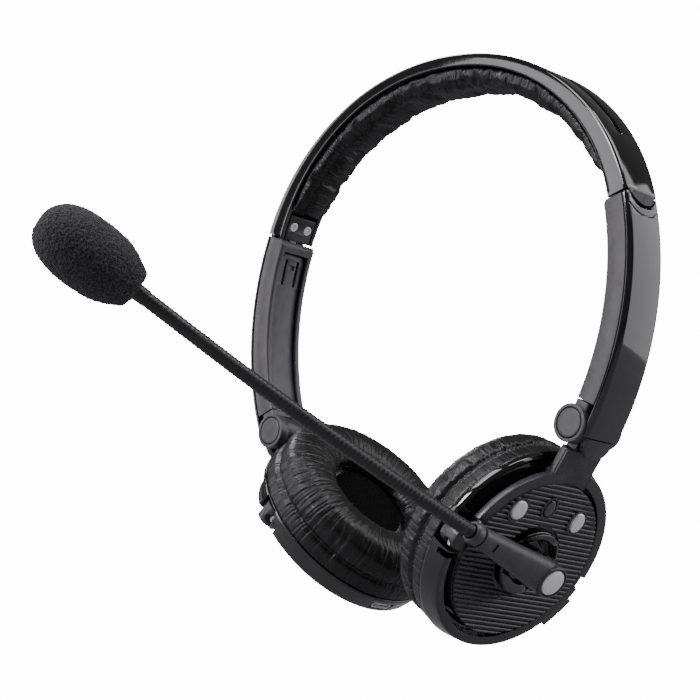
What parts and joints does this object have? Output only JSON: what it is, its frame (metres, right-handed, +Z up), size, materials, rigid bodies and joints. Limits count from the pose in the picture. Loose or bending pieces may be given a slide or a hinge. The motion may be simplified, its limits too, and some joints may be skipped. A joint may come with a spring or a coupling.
{
  "type": "headset microphone",
  "caption": "Two-ear on-ear headset: padded hoop band, sliding arms, folding gimballed cups and a turning boom with gooseneck microphone.",
  "frame": {"origin": "the middle of the headband pad's underside at the crown, on the symmetry plane of the band", "axes": "+Z up to the crown, -Y the way the wearer faces, +X the wearer's left, which carries the boom"},
  "size_m": [0.1514, 0.1855, 0.1713],
  "materials": {
    "gloss_black": "high-gloss moulded shell",
    "satin_black": "satin moulded plastic",
    "ribbed_black": "fine parallel ribs, satin",
    "leatherette": "wrinkled black leatherette over foam",
    "windscreen_foam": "open-cell black foam",
    "driver_cloth": "acoustic foam cloth",
    "silver_button": "silver painted cap",
    "steel": "zinc-plated steel",
    "dark_lens": "dark clear indicator lens",
    "board_green": "solder mask",
    "cell_wrap": "pouch cell and driver metal"
  },
  "bodies": {
    "band": {"headband_shell": "gloss_black", "headband_liner": "satin_black", "headband_pad": "leatherette", "hinge_cover_left": "satin_black", "hinge_screw_front_left": "steel", "hinge_screw_back_left": "steel", "arm_pivot_left": "steel", "hinge_cover_right": "satin_black", "hinge_screw_front_right": "steel", "hinge_screw_back_right": "steel", "arm_pivot_right": "steel"},
    "left_arm": {"arm_cover_left": "gloss_black", "arm_sleeve_left": "satin_black"},
    "left_slider": {"slider_left": "satin_black", "knuckle_pin_left": "satin_black"},
    "left_hanger": {"hanger_left": "satin_black", "faceplate_left": "ribbed_black", "trunnion_pin_front_left": "steel", "trunnion_pin_back_left": "steel", "circuit_board": "board_green", "indicator_lens": "dark_lens"},
    "left_cup": {"cup_shell_left": "gloss_black", "baffle_left": "satin_black", "driver_left": "cell_wrap", "driver_cloth_left": "driver_cloth", "ear_pad_left": "leatherette"},
    "right_arm": {"arm_cover_right": "gloss_black", "arm_sleeve_right": "satin_black"},
    "right_slider": {"slider_right": "satin_black", "knuckle_pin_right": "satin_black"},
    "right_hanger": {"hanger_right": "satin_black", "faceplate_right": "ribbed_black", "trunnion_pin_front_right": "steel", "trunnion_pin_back_right": "steel", "battery": "cell_wrap"},
    "right_cup": {"cup_shell_right": "gloss_black", "baffle_right": "satin_black", "driver_right": "cell_wrap", "driver_cloth_right": "driver_cloth", "ear_pad_right": "leatherette", "charging_socket": "steel"},
    "boom": {"boom_dial": "gloss_black", "boom_bar": "satin_black", "boom_ferrule": "satin_black", "gooseneck": "satin_black", "microphone_capsule": "satin_black", "windscreen": "windscreen_foam"},
    "call_button": {"call_button": "silver_button"},
    "mute_button": {"mute_button": "silver_button"},
    "boom_button": {"boom_button": "silver_button"},
    "volume_key": {"volume_key": "satin_black"}
  },
  "joints": [
    {"name": "left_arm_rock", "type": "hinge", "parent": "band", "child": "left_arm", "pos_m": [0.07201, 0, -0.03796], "axis": [0.9578, 0, 0.2874], "range_deg": [-4, 4]},
    {"name": "left_slide", "type": "hinge", "parent": "left_arm", "child": "left_slider", "pos_m": [-0.0118, 0, -0.0631], "axis": [0, 1, 0], "range_deg": [0, 7.5]},
    {"name": "left_knuckle_fold", "type": "hinge", "parent": "left_slider", "child": "left_hanger", "pos_m": [0.05968, 0, -0.1015], "axis": [0, 1, 0], "range_deg": [0, 14]},
    {"name": "left_cup_tilt", "type": "hinge", "parent": "left_hanger", "child": "left_cup", "pos_m": [0.03913, 0, -0.13629], "axis": [0, 1, 0], "range_deg": [-6, 6]},
    {"name": "right_arm_rock", "type": "hinge", "parent": "band", "child": "right_arm", "pos_m": [-0.07201, 0, -0.03796], "axis": [-0.9578, 0, 0.2874], "range_deg": [-4, 4]},
    {"name": "right_slide", "type": "hinge", "parent": "right_arm", "child": "right_slider", "pos_m": [0.0118, 0, -0.0631], "axis": [0, 1, 0], "range_deg": [-7.5, 0]},
    {"name": "right_knuckle_fold", "type": "hinge", "parent": "right_slider", "child": "right_hanger", "pos_m": [-0.05968, 0, -0.1015], "axis": [0, 1, 0], "range_deg": [-10, 12.4]},
    {"name": "right_cup_tilt", "type": "hinge", "parent": "right_hanger", "child": "right_cup", "pos_m": [-0.03214, 0, -0.13107], "axis": [0, 1, 0], "range_deg": [-9, 3]},
    {"name": "boom_turn", "type": "hinge", "parent": "left_hanger", "child": "boom", "pos_m": [0.04186, 0, -0.13797], "axis": [0.8517, 0, -0.524], "range_deg": [-45, 205]},
    {"name": "call_button_press", "type": "slide", "parent": "left_hanger", "child": "call_button", "axis": [-0.8517, 0, 0.524], "range_m": [0, 0.0005], "stiffness_N_per_m": 300},
    {"name": "mute_button_press", "type": "slide", "parent": "left_hanger", "child": "mute_button", "axis": [-0.8517, 0, 0.524], "range_m": [0, 0.0005], "stiffness_N_per_m": 300},
    {"name": "boom_button_press", "type": "slide", "parent": "boom", "child": "boom_button", "axis": [-0.8517, 0, 0.524], "range_m": [0, 0.0005], "stiffness_N_per_m": 300},
    {"name": "volume_key_press", "type": "slide", "parent": "left_cup", "child": "volume_key", "axis": [0.2659, -0.8616, 0.4323], "range_m": [0, 0.0003], "stiffness_N_per_m": 300}
  ]
}
